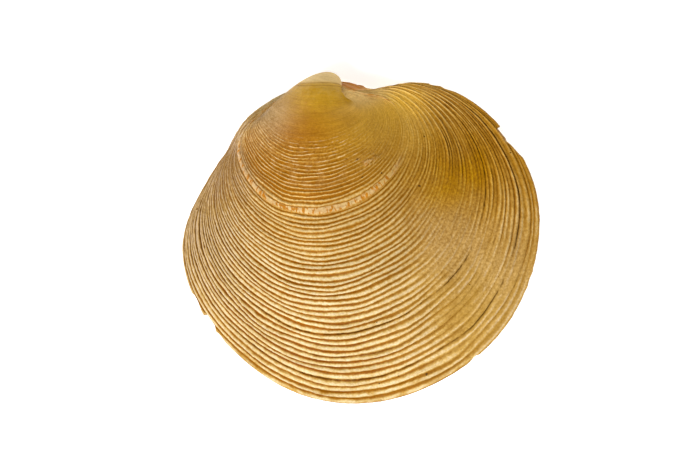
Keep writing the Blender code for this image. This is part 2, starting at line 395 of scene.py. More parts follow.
def wornFront(grid, numbers, around, thin, cut):     # the front slope's share, and its flatter ribs
    front = np.maximum(nearness(grid, *tones["slope"], 3.0), nearness(grid, *tones["front"], 3.0))
    start, over = wear["frontStart"]
    front *= smoothStep((grid[..., 0] - start) / over)
    raised = np.clip(1.8 * noiseField(np.floor(numbers) * 2.3, around, 2.5, 1.0, 17.0) + 0.55, 0.0, 1.0)
    low, added = wear["frontRibs"]
    flat = low + added * thin[:, None] * raised
    flat -= wear["frontGroove"] * cut[:, None] * grooveStrength(numbers, around, 0.7)
    return front, flat


def brokenPlates(grid, numbers, around):
    plates = np.zeros(grid.shape[:2])
    for middle, reach in wear["plates"]:
        plates = np.maximum(plates, nearness(grid, middle, reach, 4.0))
    ragged = 0.35 + 1.1 * noiseField(numbers, around, 26.0, 1.2, 23.0)
    ragged += 1.1 * noiseField(numbers, around, 60.0, 2.0, 24.0)
    return smoothStep((plates * (0.6 + ragged) - 0.45) / 0.25)


def ribRelief(grid, numbers, around):
    height = ribHeight(grid, numbers, around)
    whole = wholeShare(grid, numbers, around)
    start, end = wear["band"]
    back, fore = wear["bandEnds"]
    across = smoothStep((grid[..., 0] - back) / wear["bandFade"])
    across = across * smoothStep((fore - grid[..., 0]) / wear["bandFade"])
    cord, thin, cut, wide, inBand = ribProfile(numbers)
    young = smoothStep((numbers - end) / 3.0)[:, None]
    profile = cord[:, None] * (1 - young) + thin[:, None] * young
    profile = 1.0 - grooveStrength(numbers, around, 0.15) * (1.0 - profile)
    front, flat = wornFront(grid, numbers, around, thin, cut)
    profile = profile * (1.0 - front) + flat * front
    low, added = ribs["mergedShape"]
    for middle, reach, merged in ribs["merged"]:
        share = nearness(grid, middle, reach, 3.0)
        share = share * smoothStep((start + 2.0 - numbers) / 4.0)[:, None]
        runTogether = low + added * ribProfile(numbers / merged)[1][:, None]
        profile = profile * (1.0 - share) + runTogether * share
        height *= 1.0 + ribs["mergedGain"] * (merged - 1.0) * share
    bandShare = inBand[:, None] * across
    profile = profile * (1.0 - bandShare) + wide[:, None] * bandShare
    stops = growthStops(grid, numbers, around)
    relief = height * profile * (ribs["least"] + (1.0 - ribs["least"]) * whole) - ribs["stopDepth"] * stops
    rough = noiseField(numbers * 0.2, around, 40.0, 1.0, 9.0)
    relief += wear["bandRoughness"] * wide[:, None] * bandShare * rough
    plates = brokenPlates(grid, numbers, around)
    relief += wear["plateRise"] * plates
    step = smoothStep((end + 0.4 - numbers) / 0.8) * smoothStep((numbers - end + 6.0) / 6.0)
    relief += wear["bandStep"] * step[:, None] * across
    band = np.maximum(wide[:, None] * bandShare, wear["plateColour"] * plates)
    return relief, np.maximum(profile, plates), whole, stops, band


def chipDepth(around):
    depth = np.zeros(len(around))
    for direction, halfWidth, deep in wear["chips"]:
        away = np.degrees(np.angle(np.exp(1j * (around - math.radians(direction)))))
        depth = np.maximum(depth, deep * np.clip(1.0 - np.abs(away / halfWidth) ** 5, 0.0, 1.0))
    rough = np.array([noise.noise(Vector((30 * math.cos(a), 30 * math.sin(a), 3.0))) for a in around])
    fine = np.array([noise.noise(Vector((90 * math.cos(a), 90 * math.sin(a), 7.0))) for a in around])
    depth *= 1.0 + 0.6 * rough
    return np.maximum(0.0, depth + wear["edgeRoughness"] * (1.0 + rough + fine))


def breakEdge(layers, grid, depth):     # draws the outermost rings in to the chipped edge
    steps = np.linalg.norm(np.diff(grid, axis=0), axis=2)
    reach = np.vstack([np.zeros(grid.shape[1]), np.cumsum(steps, axis=0)])
    band = wear["breakWidth"]
    for column in np.nonzero(depth > 0.0)[0]:
        deep = depth[column]
        along = reach[:, column]
        inside = along < deep + band
        moved = deep + band * along[inside] / (deep + band)
        for layer in layers:
            flat = layer[:, column].reshape(len(along), -1)
            fresh = [np.interp(moved, along, flat[:, part]) for part in range(flat.shape[1])]
            layer[inside, column] = np.array(fresh).T.reshape(layer[inside, column].shape)


def shapeOuterFace(shell, numbers, coils):
    around = np.arange(valve["columns"]) * 2.0 * math.pi / valve["columns"]
    grid = readGrid(shell, len(coils), len(around))
    fillHollows(grid, numbers)
    smooth = grid.copy()
    stray = np.zeros(grid.shape[:2])
    for share, *pattern in ribs["strays"]:
        stray += share * ribs["wander"] * noiseField(numbers, around, *pattern)
    stray *= (smoothStep(numbers / 2.0) * smoothStep((ribs["count"] - numbers) / 6.0))[:, None]
    grid = slideAlongGrowth(grid, numbers, stray)
    relief, crest, whole, stops, band = ribRelief(grid, numbers, around)
    tone = np.stack([nearness(grid, *tones[name]) for name in ("slope", "flank", "front")], axis=2)
    # where the notch's painted light goes
    litNotch = nearness(grid, *tones["litNotch"])
    grown = smoothStep((wear["band"][1] + grownFade - numbers) / grownFade)[:, None]
    shoulder = nearness(grid, *tones["shoulder"]) * grown
    umboSide = nearness(grid, *tones["umboSide"]) * (1.0 - grown)
    last, over = beakSideEnd
    # the tone beside the beak, partly painted light
    beakSide = nearness(grid, *tones["beakSide"]) * smoothStep((last - numbers) / over)[:, None]
    strip = nearness(grid, *tones["strip"])
    grid = grid + outwardNormals(grid) * relief[..., None]
    growth = np.empty(grid.shape)
    growth[..., 0] = np.cos(around)[None, :]
    growth[..., 1] = np.sin(around)[None, :]
    growth[..., 2] = numbers[:, None]
    breakEdge([growth, crest, whole, grid], grid.copy(), chipDepth(around))
    layers = {"growth": growth, "crest": crest, "whole": whole, "tone": tone, "stops": stops, "band": band,
              "litNotch": litNotch, "shoulder": shoulder, "umboSide": umboSide, "beakSide": beakSide,
              "strip": strip}
    return grid, smooth, layers


# the inner face, seen when the valve is turned over

inside = {
    "columns": 200,
    "rings": 64,
    "crowding": 0.5,                 # how much closer its columns stand at the hinge
    "smoothing": 4,                  # columns on each side over which its outline is evened out
    "ringSpread": 1.1,
    "lastRing": 0.992,
    "firstRise": 0.00005,            # the first ring inside the rim stays this low
    "middle": (0.0, 0.0030),
    "rimInset": 0.0005,              # from the edge to the inner face's first ring
    "edgeRound": 0.00022,
    "wallAtRim": 0.0011,
    "wallAtMiddle": 0.0017,
    "wallThickensOver": 0.010,
    "plateHeight": 0.0010,
    "plateDepth": 0.0062,
    "plateMiddle": -0.0020,
    "plateSpread": 0.0095,
    "plateSlope": 1.6,
    "plateBlend": 0.0005,
    "softness": 0.00012,             # where the hollow runs out into the rim
    "leastWall": 0.00035,
    "bridgeDrop": 0.004,             # how far the rim is lowered while the bridge is made
}

# start and end in plan, half width, and height towards the margin's plane (negative is a groove)
hingeMarks = [
    ((-0.0014, 0.0186), (-0.0068, 0.0146), 0.00060, 0.00085),    # back tooth, long and slanting
    ((-0.0014, 0.0186), (-0.0068, 0.0146), 0.00012, -0.00035),   # the cleft along it
    ((-0.0006, 0.0181), (-0.0020, 0.0137), 0.00055, 0.00085),    # middle tooth
    ((0.0006, 0.0182), (0.0026, 0.0141), 0.00035, 0.00080),      # front tooth
    ((-0.0026, 0.0172), (-0.0046, 0.0140), 0.00050, -0.00050),   # sockets between the teeth
    ((0.0001, 0.0170), (0.0004, 0.0138), 0.00050, -0.00050),
    ((-0.0024, 0.0196), (-0.0118, 0.0165), 0.00045, 0.00070),    # ridge that carries the ligament
    ((-0.0030, 0.0205), (-0.0110, 0.0177), 0.00028, -0.00050),   # groove behind it
    ((0.0042, 0.0172), (0.0056, 0.0164), 0.00045, -0.00045),     # pit for the front side tooth
]

muscleScars = [((0.0148, 0.0062), (0.0024, 0.0040), 20.0), ((-0.0152, 0.0050), (0.0030, 0.0036), -20.0)]
scarDepth = 0.00010
scarFade = 0.10                  # of the scar's size
lineHalfWidth = 0.00045
lineDepth = 0.6                  # of the scars' depth
pallialLine = [
    (0.0146, 0.0020), (0.0128, -0.0058), (0.0080, -0.0122), (0.0010, -0.0150), (-0.0065, -0.0138),
    (-0.0120, -0.0096), (-0.0145, -0.0045), (-0.0100, -0.0030), (-0.0040, -0.0002), (0.0012, 0.0030),
    (-0.0030, 0.0030), (-0.0085, 0.0010), (-0.0125, 0.0010),
]


def resample(plan, count):       # the edge's outline in plan, read more closely beside the hinge
    angle = np.unwrap(np.arctan2(plan[:, 1], plan[:, 0]))
    reach = np.hypot(plan[:, 0], plan[:, 1])
    order = np.argsort(angle)
    turned = angle[0] + np.arange(count) * 2.0 * math.pi / count
    wanted = turned + inside["crowding"] * np.cos(turned)
    steps = range(-inside["smoothing"], inside["smoothing"] + 1)
    reach = np.minimum.reduce([np.roll(reach, step) for step in steps])     # clear of every chip
    reach = np.mean([np.roll(reach, step) for step in steps], axis=0)
    radius = np.interp(wanted, angle[order], reach[order], period=2.0 * math.pi)
    return np.column_stack([radius * np.cos(wanted), radius * np.sin(wanted)])


def outerTree(smooth):           # the outer face without its ribs, for measuring the wall
    rows, columns = smooth.shape[:2]
    corners = smooth.reshape(-1, 3).tolist()
    quads = []
    for row in range(rows - 1):
        base = row * columns
        quads.extend((base + c, base + (c + 1) % columns, base + columns + (c + 1) % columns,
                      base + columns + c) for c in range(columns))
    return BVHTree.FromPolygons(corners, quads)


def distanceToRun(x, y, start, end):
    run = np.array(end) - np.array(start)
    along = ((x - start[0]) * run[0] + (y - start[1]) * run[1]) / (run @ run)
    along = np.clip(along, 0.0, 1.0)
    return np.hypot(x - start[0] - along * run[0], y - start[1] - along * run[1])


def innerHeights(plan, inset, tree):
    x, y = plan[:, 0], plan[:, 1]
    up = Vector((0.0, 0.0, 1.0))
    hits = [tree.ray_cast(Vector((a, b, -0.01)), up)[0] for a, b in plan]
    roof = np.array([hit.z if hit else 0.0 for hit in hits])
    thick = inside["wallAtRim"] + (inside["wallAtMiddle"] - inside["wallAtRim"]) * smoothStep(
        inset / inside["wallThickensOver"])
    soft = inside["softness"]
    height = soft * np.logaddexp(0.0, (roof - thick) / soft)
    spread = ((x - inside["plateMiddle"]) / inside["plateSpread"]) ** 4
    plateEdge = valve["pole"][1] - inside["plateDepth"] * np.exp(-spread)
    fall = inside["plateBlend"] * np.logaddexp(0.0, (plateEdge - y) / inside["plateBlend"])
    height = np.minimum(height, inside["plateHeight"] + inside["plateSlope"] * fall)
    mark = np.zeros(len(x))
    for (cx, cy), (reachX, reachY), tilt in muscleScars:
        turn = math.radians(tilt)
        across = ((x - cx) * math.cos(turn) + (y - cy) * math.sin(turn)) / reachX
        along = (-(x - cx) * math.sin(turn) + (y - cy) * math.cos(turn)) / reachY
        mark = np.maximum(mark, smoothStep((1.0 - np.hypot(across, along)) / scarFade))
    for start, end in zip(pallialLine, pallialLine[1:]):
        near = smoothStep(1.0 - distanceToRun(x, y, start, end) / lineHalfWidth)
        mark = np.maximum(mark, lineDepth * near)
    height += scarDepth * mark
    for start, end, halfWidth, rise in hingeMarks:
        near = np.clip(1.0 - (distanceToRun(x, y, start, end) / halfWidth) ** 2, 0.0, 1.0)
        height -= rise * near ** 1.5
    height = np.minimum(height, np.maximum(roof - inside["leastWall"], 0.0))
    return np.maximum(height, 0.0), mark


def growInnerFace(edge, tree):
    deselectAll()
    columns, rings = inside["columns"], inside["rings"]
    outline = resample(edge, columns)
    tangent = np.roll(outline, -1, axis=0) - np.roll(outline, 1, axis=0)
    tangent /= np.linalg.norm(tangent, axis=1)[:, None]
    outline += inside["rimInset"] * np.column_stack([-tangent[:, 1], tangent[:, 0]])
    bpy.ops.mesh.primitive_circle_add(vertices=columns, radius=0.02, fill_type="NOTHING")
    hollow = bpy.context.object
    hollow.name = "innerFace"
    for vert, (x, y) in zip(hollow.data.vertices, outline):
        vert.co = (x, y, 0.0)
    middle = (*inside["middle"], 0.0)
    shares = (np.arange(rings) / rings) ** inside["ringSpread"] * inside["lastRing"]
    bpy.ops.object.mode_set(mode="EDIT")
    bpy.ops.mesh.select_all(action="SELECT")
    for lower, upper in zip(shares, shares[1:]):
        factor = (1.0 - upper) / (1.0 - lower)
        bpy.ops.mesh.extrude_edges_move(TRANSFORM_OT_translate={"value": (0.0, 0.0, 0.0)})
        bpy.ops.transform.resize(value=(factor, factor, 1.0), center_override=middle)
    bpy.ops.object.mode_set(mode="OBJECT")
    grid = readGrid(hollow, rings, columns)
    plan = grid.reshape(-1, 3)[:, :2]
    inset = np.linalg.norm(grid - grid[:1], axis=2).reshape(-1)
    height, mark = innerHeights(plan, inset + inside["rimInset"], tree)
    height = height.reshape(rings, columns)
    height[0] = 0.0
    height[1] = np.minimum(height[1], inside["firstRise"])
    grid[..., 2] = height
    writeGrid(hollow, grid)
    setAttribute(hollow, "mark", mark)
    closeTip(hollow, range((rings - 1) * columns, rings * columns))
    print("inner face grown,", rings, "rings of", columns)
    return hollow


def setAttribute(item, name, values):
    values = np.asarray(values, dtype=float)
    isVector = values.ndim > 1 and values.shape[-1] == 3
    kind, field = ("FLOAT_VECTOR", "vector") if isVector else ("FLOAT", "value")
    attribute = item.data.attributes.get(name) or item.data.attributes.new(name, kind, "POINT")
    stored = np.zeros((len(item.data.vertices), 3 if isVector else 1))
    flat = values.reshape(-1, stored.shape[1])
    stored[: len(flat)] = flat
    attribute.data.foreach_set(field, stored.reshape(-1))


def selectOnly(item, wanted):
    for part in (item.data.polygons, item.data.edges, item.data.vertices):
        part.foreach_set("select", [False] * len(part))
    for index in wanted:
        item.data.vertices[index].select = True


def closeTip(item, indices):
    selectOnly(item, indices)
    bpy.context.view_layer.objects.active = item
    bpy.ops.object.mode_set(mode="EDIT")
    bpy.ops.mesh.select_mode(type="VERT")
    bpy.ops.mesh.merge(type="CENTER")
    bpy.ops.object.mode_set(mode="OBJECT")


def roundEdgeUnder(item, columns):       # two more rings carry the edge down to the margin's plane
    start = range(columns)
    for height, inset in ((inside["edgeRound"], 0.0), (0.0, inside["edgeRound"])):
        selectOnly(item, start)
        bpy.ops.object.mode_set(mode="EDIT")
        bpy.ops.mesh.select_mode(type="VERT")
        bpy.ops.mesh.extrude_edges_move(TRANSFORM_OT_translate={"value": (0.0, 0.0, 0.0)})
        bpy.ops.object.mode_set(mode="OBJECT")
        total = len(item.data.vertices)
        start = range(total - columns, total)
        for index in start:
            corner = item.data.vertices[index].co
            reach = math.hypot(corner.x, corner.y)
            corner.x *= 1.0 - inset / reach
            corner.y *= 1.0 - inset / reach
            corner.z = height
    return start


def setRingHeight(item, ring, height):
    for index in ring:
        item.data.vertices[index].co.z = height


def bridgeRim(shell, under, rim):
    setRingHeight(shell, rim, -inside["bridgeDrop"])     # apart, so that the bridge runs the right way round
    selectOnly(shell, list(under) + list(rim))
    bpy.ops.object.mode_set(mode="EDIT")
    bpy.ops.mesh.select_mode(type="VERT")
    bpy.ops.mesh.bridge_edge_loops()
    bpy.ops.object.mode_set(mode="OBJECT")
    setRingHeight(shell, rim, 0.0)
    bpy.ops.object.mode_set(mode="EDIT")
    bpy.ops.mesh.select_all(action="SELECT")
    bpy.ops.mesh.normals_make_consistent(inside=False)
    bpy.ops.object.mode_set(mode="OBJECT")


def finishValve():
    numbers, coils = ringPlan()
    shell = growOuterFace(numbers, coils)
    rows, columns = len(coils), valve["columns"]
    grid, smooth, layers = shapeOuterFace(shell, numbers, coils)
    writeGrid(shell, grid)
    for name, values in layers.items():
        setAttribute(shell, name, values)
    setAttribute(shell, "mark", np.zeros(rows * columns))
    print("ribs and chips shaped")
    hollow = growInnerFace(grid[0, :, :2], outerTree(smooth))
    closeTip(shell, range((rows - 1) * columns, rows * columns))
    outerCount = len(shell.data.vertices)
    under = roundEdgeUnder(shell, columns)
    shell.data.materials.append(outerFinish())
    shell.data.materials.append(innerFinish())
    hollow.data.materials.append(bpy.data.materials["innerShell"])
    deselectAll()
    hollow.select_set(True)
    shell.select_set(True)
    bpy.context.view_layer.objects.active = shell
    before = len(shell.data.vertices)
    bpy.ops.object.join()
    bridgeRim(shell, under, range(before, before + inside["columns"]))
    for face in shell.data.polygons:
        face.material_index = 0 if max(face.vertices) < outerCount + columns else 1
    bpy.ops.object.shade_smooth_by_angle(angle=math.radians(valve["smoothBelow"]))
    triangles = sum(len(face.vertices) - 2 for face in shell.data.polygons)
    print("valve closed,", triangles, "triangles")
    return shell


# the finishes

outerLook = {
    # colours along the growth, from the margin (0) to the beak (1), on the ribs and between them
    "crest": [(0.00, (0.56, 0.36, 0.10)), (0.012, (0.74, 0.61, 0.37)), (0.26, (0.75, 0.64, 0.42)),
              (0.40, (0.70, 0.53, 0.27)), (0.52, (0.78, 0.57, 0.27)), (0.60, (0.71, 0.46, 0.12)),
              (0.66, (0.40, 0.160, 0.0005)), (0.73, (0.455, 0.197, 0.0005)), (0.79, (0.56, 0.302, 0.007)),
              (0.825, (0.60, 0.37, 0.060)), (1.00, (0.62, 0.39, 0.075))],
    "groove": [(0.00, (0.30, 0.115, 0.001)), (0.06, (0.27, 0.082, 0.0005)), (0.20, (0.28, 0.088, 0.0005)),
               (0.36, (0.33, 0.118, 0.0005)), (0.46, (0.32, 0.115, 0.0005)),
               (0.52, (0.32, 0.118, 0.0003)), (0.68, (0.34, 0.128, 0.0003)), (0.73, (0.405, 0.175, 0.0005)),
               (0.79, (0.54, 0.292, 0.006)), (0.825, (0.59, 0.36, 0.055)), (1.00, (0.61, 0.38, 0.07))],
    "side": (0.86, 0.72, 0.34),       # how much duller the sides of a rib are than its top
    # the front slope's colours: its own darker ochre, with painted shade for the side turned away from the
    # light
    "slopeCrest": (0.54, 0.30, 0.008),
    "slopeGroove": (0.25, 0.108, 0.001),
    "flankCrest": (0.60, 0.45, 0.29),
    # the flank's grooves: their own brown, painted far darker as painted shade so that the ribs show on the
    # steep flank
    "flankGroove": (0.11, 0.048, 0.006),
    "frontCrest": (0.66, 0.50, 0.285),
    "frontGroove": (0.40, 0.225, 0.035),
    # painted light: the notch's colours are paler than the shell around it, to stand in for light where the
    # umbo's overhang shades it
    "litNotchCrest": (0.85, 0.58, 0.14),
    "litNotchGroove": (0.62, 0.34, 0.025),
    # beside the beak: its own light tan, painted paler still as painted light over the hollow's shade
    "beakSideCrest": (0.92, 0.74, 0.38),
    "beakSideGroove": (0.84, 0.61, 0.26),
    "shoulderCrest": (0.50, 0.36, 0.25),
    "shoulderGroove": (0.24, 0.12, 0.035),
    "umboSideCrest": (0.88, 0.72, 0.55),
    "umboSideGroove": (0.46, 0.29, 0.12),
    "strip": (0.46, 0.17, 0.006),     # the narrow face under the beak's front side
    "capTilt": 1.3,                   # the pale cap's edge crosses this many growth lines
    "capFrom": (71.3, 72.6),
    "cap": (0.76, 0.55, 0.24),
    "beakLines": (70.9, 71.75),
    "beakLine": (0.40, 0.20, 0.025),
    "rubbedCrest": 0.55,              # how pale a rubbed place is, between groove and crest
    "rubbedYoung": 0.18,              # the same on the young shell
    "band": (0.64, 0.42, 0.19),
    "bandDash": (0.50, 0.19, 0.006),
    "flake": (0.82, 0.62, 0.34),
    "stop": (0.085, 0.034, 0.001),
    "rim": (0.38, 0.180, 0.005),      # the last growth, plain, on the front slope
    "roughness": 0.38,
    "shine": 0.05,
    # from dark to light, multiplied into the colour: the grain, fine growth lines and cloudiness
    "grainTint": [(0.32, (0.70, 0.62, 0.50)), (0.66, (1.13, 1.13, 1.15))],
    "lineTint": [(0.32, (0.84, 0.80, 0.72)), (0.66, (1.08, 1.08, 1.08))],
    "cloudTint": [(0.35, (0.88, 0.84, 0.76)), (0.65, (1.06, 1.05, 1.03))],
    # painted shade: a near-black colour inside the small pits, which are made only by the bump
    "pitShade": (0.10, 0.04, 0.004),
    "bump": (0.7, 0.00014),           # strength, and distance in metres
}
innerLook = {
    "clouds": [(0.30, (0.80, 0.68, 0.48)), (0.50, (0.86, 0.78, 0.62)), (0.75, (0.90, 0.85, 0.74))],
    "scars": [(0.0, (1.0, 1.0, 1.0)), (1.0, (0.90, 0.84, 0.74))],
    "roughness": 0.28,
    "bump": (0.15, 0.0001),
}
# noise that follows the growth: detail, then scale for the two parts of the direction and for each rib
growthPatterns = {
    "streak": (3.0, (7.0, 7.0, 0.9)),
    "dash": (2.0, (26.0, 26.0, 2.2)),
    "flake": (3.0, (40.0, 40.0, 1.6)),
    "bandDash": (2.0, (24.0, 24.0, 0.55)),
    "bandPatch": (2.0, (9.0, 9.0, 0.8)),
    "chalk": (3.0, (6.0, 6.0, 1.4)),
    "line": (2.0, (1.5, 1.5, 2.1)),
    "fine": (3.0, (10.0, 10.0, 5.0)),
}
# noise in the body of the shell: detail, scale for each metre
bodyPatterns = {
    "grain": (2.0, 3600.0),
    "cloud": (3.0, 170.0),
    "spot": (1.0, 1150.0),
    "innerCloud": (3.0, 110.0),
    "innerFine": (3.0, 900.0),
}


def newMaterial(name):
    material = bpy.data.materials.new(name)
    material.use_nodes = True
    return material, material.node_tree.nodes["Principled BSDF"]


def addNode(tree, kind, links=None, **settings):
    node = tree.nodes.new(kind)
    for key, value in settings.items():
        setattr(node, key, value)
    for socket, source in (links or {}).items():
        if isinstance(source, bpy.types.NodeSocket):
            tree.links.new(source, node.inputs[socket])
        else:
            node.inputs[socket].default_value = source
    return node


def attributeOf(tree, name, output):
    return addNode(tree, "ShaderNodeAttribute", attribute_name=name).outputs[output]


def rampOf(tree, source, stops):
    node = addNode(tree, "ShaderNodeValToRGB", {"Fac": source})
    points = node.color_ramp.elements
    while len(points) < len(stops):
        points.new(0.5)
    for point, (place, colour) in zip(points, stops):
        point.position = place
        point.color = (*colour, 1.0) if isinstance(colour, tuple) else (colour, colour, colour, 1.0)
    return node.outputs["Color"]


def noiseOf(tree, vector, scale, detail):
    node = addNode(tree, "ShaderNodeTexNoise", {"Vector": vector, "Scale": scale, "Detail": detail})
    return node.outputs["Fac"]


def growthNoise(tree, growth, name):
    detail, stretch = growthPatterns[name]
    vector = addNode(tree, "ShaderNodeMapping", {"Vector": growth, "Scale": stretch}).outputs[0]
    return noiseOf(tree, vector, 1.0, detail)


def bodyNoise(tree, place, name):
    detail, scale = bodyPatterns[name]
    return noiseOf(tree, place, scale, detail)


def mathOf(tree, operation, first, second=0.0, third=0.0, clamp=False):
    node = addNode(tree, "ShaderNodeMath", {0: first, 1: second, 2: third}, operation=operation)
    node.use_clamp = clamp
    return node.outputs[0]


def mixOf(tree, share, first, second, blend="MIX"):
    first, second = ((*colour, 1.0) if isinstance(colour, tuple) else colour for colour in (first, second))
    node = addNode(tree, "ShaderNodeMix", {0: share, 6: first, 7: second}, data_type="RGBA")
    node.blend_type = blend
    return node.outputs[2]


def windowOf(tree, value, low, high, soft=False):     # 0 at low, 1 at high
    kind = "SMOOTHSTEP" if soft else "LINEAR"
    links = {"Value": value, "From Min": low, "From Max": high}
    return addNode(tree, "ShaderNodeMapRange", links, interpolation_type=kind).outputs["Result"]


def shellFields(tree):       # the values that the colours are worked out from
    growth = attributeOf(tree, "growth", "Vector")
    turned = addNode(tree, "ShaderNodeSeparateXYZ", {0: growth})
    tone = addNode(tree, "ShaderNodeSeparateXYZ", {0: attributeOf(tree, "tone", "Vector")})
    place = addNode(tree, "ShaderNodeTexCoord").outputs["Object"]
    names = ("crest", "whole", "stops", "band", "strip", "shoulder", "umboSide", "litNotch", "beakSide")
    fields = {name: attributeOf(tree, name, "Fac") for name in names}
    fields.update(growth=growth, forwards=turned.outputs["X"], number=turned.outputs["Z"], place=place,
                  slope=tone.outputs["X"], flank=tone.outputs["Y"], front=tone.outputs["Z"],
                  grain=bodyNoise(tree, place, "grain"), cloud=bodyNoise(tree, place, "cloud"))
    fields["rubbed"] = mathOf(tree, "SUBTRACT", 1.0, fields["whole"])
    return fields


def ribColours(tree, fields):        # ribs paler than the grooves, along the growth
    growth, number, crest, rubbed = (fields[name] for name in ("growth", "number", "crest", "rubbed"))
    age = mathOf(tree, "DIVIDE", number, float(ribs["count"] + valve["beakRings"]))
    streak = mathOf(tree, "MULTIPLY_ADD", growthNoise(tree, growth, "streak"), 0.10, -0.05)
    age = mathOf(tree, "ADD", age, streak, clamp=True)
    high = rampOf(tree, age, outerLook["crest"])
    low = rampOf(tree, age, outerLook["groove"])
    patchy = mathOf(tree, "MULTIPLY_ADD", fields["cloud"], 0.8, 0.6)
    # regional tones: the notch and the beak's side carry painted light, and the slope and the flank's grooves
    # painted shade
    for name in ("front", "slope", "flank", "shoulder", "umboSide", "litNotch", "beakSide"):
        share = mathOf(tree, "MULTIPLY", fields[name], patchy, clamp=True)
        high = mixOf(tree, share, high, outerLook[name + "Crest"])
        low = mixOf(tree, share, low, outerLook[name + "Groove"])
    side = mixOf(tree, 1.0, high, outerLook["side"], "MULTIPLY")
    dash = mathOf(tree, "MULTIPLY_ADD", growthNoise(tree, growth, "dash"), 0.7, -0.35)
    pale = mathOf(tree, "ADD", crest, dash)
    top = windowOf(tree, pale, 0.62, 0.97)
    pale = windowOf(tree, pale, 0.28, 0.74)
    rest = windowOf(tree, number, wear["band"][0], wear["band"][1] + 2.0)
    rest = mathOf(tree, "MULTIPLY_ADD", rest, outerLook["rubbedYoung"] - outerLook["rubbedCrest"],
                  outerLook["rubbedCrest"])
    rest = mathOf(tree, "MULTIPLY_ADD", mathOf(tree, "SUBTRACT", fields["grain"], 0.5), 0.6, rest, clamp=True)
    pale = mixOf(tree, rubbed, pale, rest)
    top = mathOf(tree, "MULTIPLY_ADD", rubbed, 0.5, top, clamp=True)
    return mixOf(tree, pale, low, mixOf(tree, top, side, high))


def bandColours(tree, fields, colour):       # the wide rib's orange dashes and the broken ribs' pale flakes
    growth, number, band = fields["growth"], fields["number"], fields["band"]
    patches = windowOf(tree, growthNoise(tree, growth, "bandPatch"), 0.36, 0.56)
    share = mathOf(tree, "MULTIPLY", mathOf(tree, "MULTIPLY", band, patches), 0.85)
    colour = mixOf(tree, share, colour, outerLook["band"])
    dashes = windowOf(tree, growthNoise(tree, growth, "bandDash"), 0.51, 0.58)
    dashes = mathOf(tree, "MULTIPLY", band, dashes)
    colour = mixOf(tree, mathOf(tree, "MULTIPLY", dashes, 0.95), colour, outerLook["bandDash"])
    start, end = wear["brokenRibs"]
    broken = mathOf(tree, "MULTIPLY", windowOf(tree, number, start, start + 4.0),
                    windowOf(tree, number, end, end - 4.0))
    chalk = windowOf(tree, growthNoise(tree, growth, "chalk"), 0.50, 0.60)
    flakes = mathOf(tree, "MULTIPLY", chalk, broken)
    aside = addNode(tree, "ShaderNodeSeparateXYZ", {0: fields["place"]}).outputs["X"]
    flakes = mathOf(tree, "MULTIPLY", flakes, windowOf(tree, aside, 0.0065, 0.0035))
    flakes = mathOf(tree, "MULTIPLY", flakes, windowOf(tree, fields["crest"], 0.4, 0.9))
    return mixOf(tree, flakes, colour, outerLook["flake"])


def edgeAndBeakColours(tree, fields, colour):     # growth stops, the last growth, the strip and the pale cap
    number = fields["number"]
    colour = mixOf(tree, mathOf(tree, "MULTIPLY", fields["stops"], 0.9), colour, outerLook["stop"])
    rim = mathOf(tree, "MULTIPLY", windowOf(tree, number, 3.9, 3.4), fields["slope"])
    colour = mixOf(tree, mathOf(tree, "MULTIPLY", rim, 0.8, clamp=True), colour, outerLook["rim"])
    strip = mathOf(tree, "MULTIPLY", fields["strip"], windowOf(tree, number, 7.0, 4.0))
    colour = mixOf(tree, mathOf(tree, "MULTIPLY", strip, 1.2, clamp=True), colour, outerLook["strip"])
    cap = mathOf(tree, "MULTIPLY_ADD", fields["forwards"], -outerLook["capTilt"], number)
    colour = mixOf(tree, windowOf(tree, cap, *outerLook["capFrom"]), colour, outerLook["cap"])
    for middle in outerLook["beakLines"]:
        away = mathOf(tree, "ABSOLUTE", mathOf(tree, "SUBTRACT", cap, middle))
        colour = mixOf(tree, mathOf(tree, "MULTIPLY", windowOf(tree, away, 0.24, 0.06), 0.8), colour,
                       outerLook["beakLine"])
    return colour


def surfaceTints(tree, fields, colour):      # grain, fine growth lines and cloudiness
    young = windowOf(tree, fields["number"], 62.0, 52.0)
    share = mathOf(tree, "MULTIPLY_ADD", fields["rubbed"], 0.25, 0.55, clamp=True)
    share = mathOf(tree, "MULTIPLY", share, mathOf(tree, "MULTIPLY_ADD", young, 0.75, 0.25))
    # less grain in the notch, as part of its painted light
    grainOutsideLitNotch = mathOf(tree, "MULTIPLY_ADD", fields["litNotch"], -0.7, 1.0)
    share = mathOf(tree, "MULTIPLY", share, grainOutsideLitNotch)
    grainTint = rampOf(tree, fields["grain"], outerLook["grainTint"])
    colour = mixOf(tree, share, colour, grainTint, "MULTIPLY")
    lineTint = rampOf(tree, growthNoise(tree, fields["growth"], "line"), outerLook["lineTint"])
    colour = mixOf(tree, 0.75, colour, lineTint, "MULTIPLY")
    return mixOf(tree, 0.7, colour, rampOf(tree, fields["cloud"], outerLook["cloudTint"]), "MULTIPLY")


